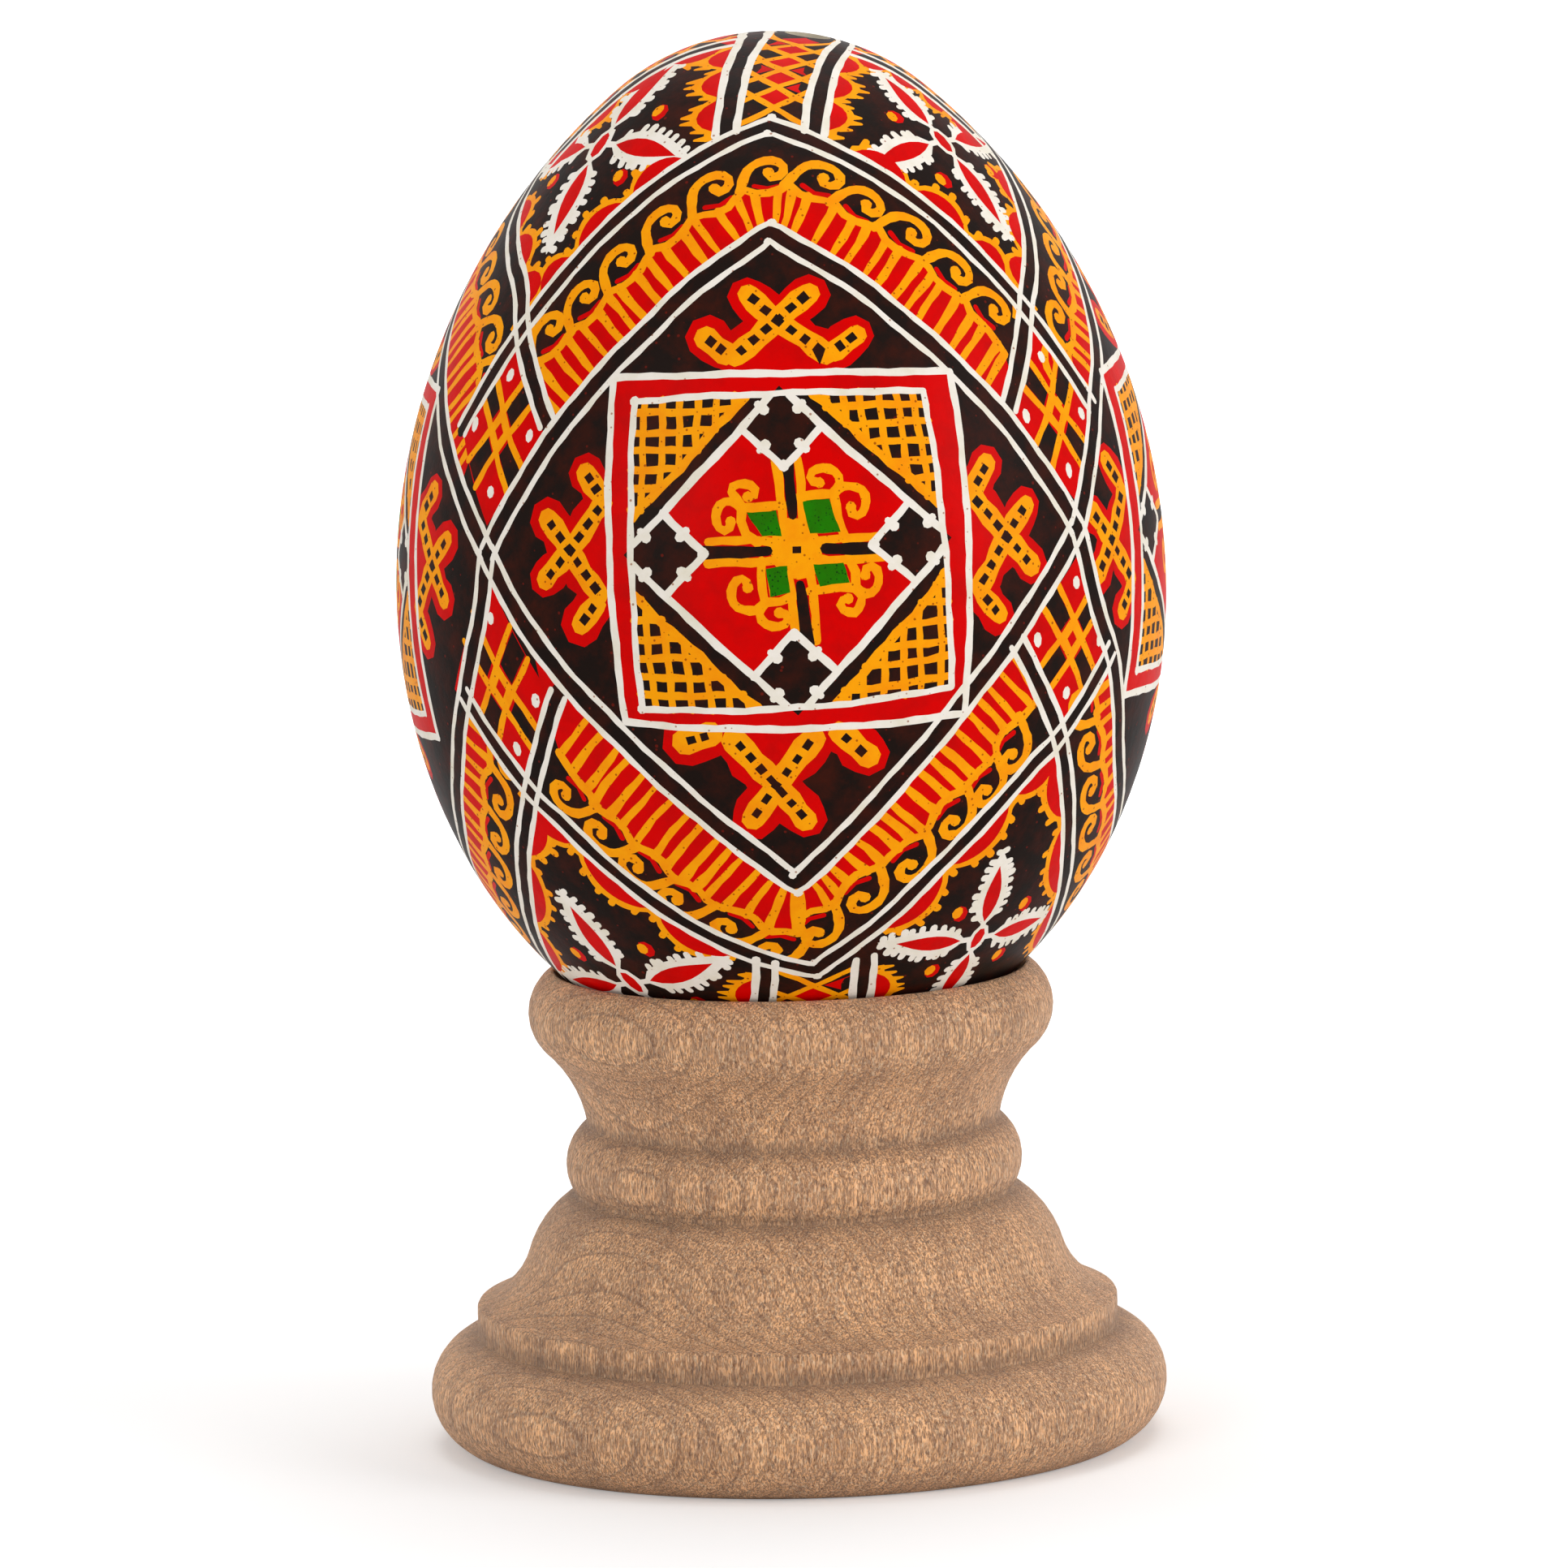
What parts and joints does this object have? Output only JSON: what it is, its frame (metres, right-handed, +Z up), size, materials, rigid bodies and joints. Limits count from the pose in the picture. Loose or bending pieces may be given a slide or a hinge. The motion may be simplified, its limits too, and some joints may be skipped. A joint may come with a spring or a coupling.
{
  "type": "decorated egg on a turned stand",
  "caption": "Blown egg with a folk pattern in wax-resist dyes, standing blunt end down in a turned wooden cup, from which it lifts out.",
  "frame": {"origin": "middle of the stand's flat underside, on the axis of the turning", "axes": "+Z up along the egg and the stand, +X to the right, -Y is the front"},
  "size_m": [0.0438, 0.0438, 0.0807],
  "materials": {
    "dyed_shell": "hen's eggshell dyed white, yellow, red, green and brown-black by wax resist, under a thin satin varnish",
    "dry_membrane": "dull, fibrous, off-white",
    "turned_wood": "bare, fine-grained pale hardwood, as it left the lathe"
  },
  "bodies": {
    "stand": {"stand": "turned_wood"},
    "egg": {"eggshell": "dyed_shell", "shell_membrane": "dry_membrane"}
  },
  "joints": [
    {"name": "egg_lift", "type": "slide", "parent": "stand", "child": "egg", "axis": [0, 0, 1], "range_m": [0, 0.04]}
  ]
}
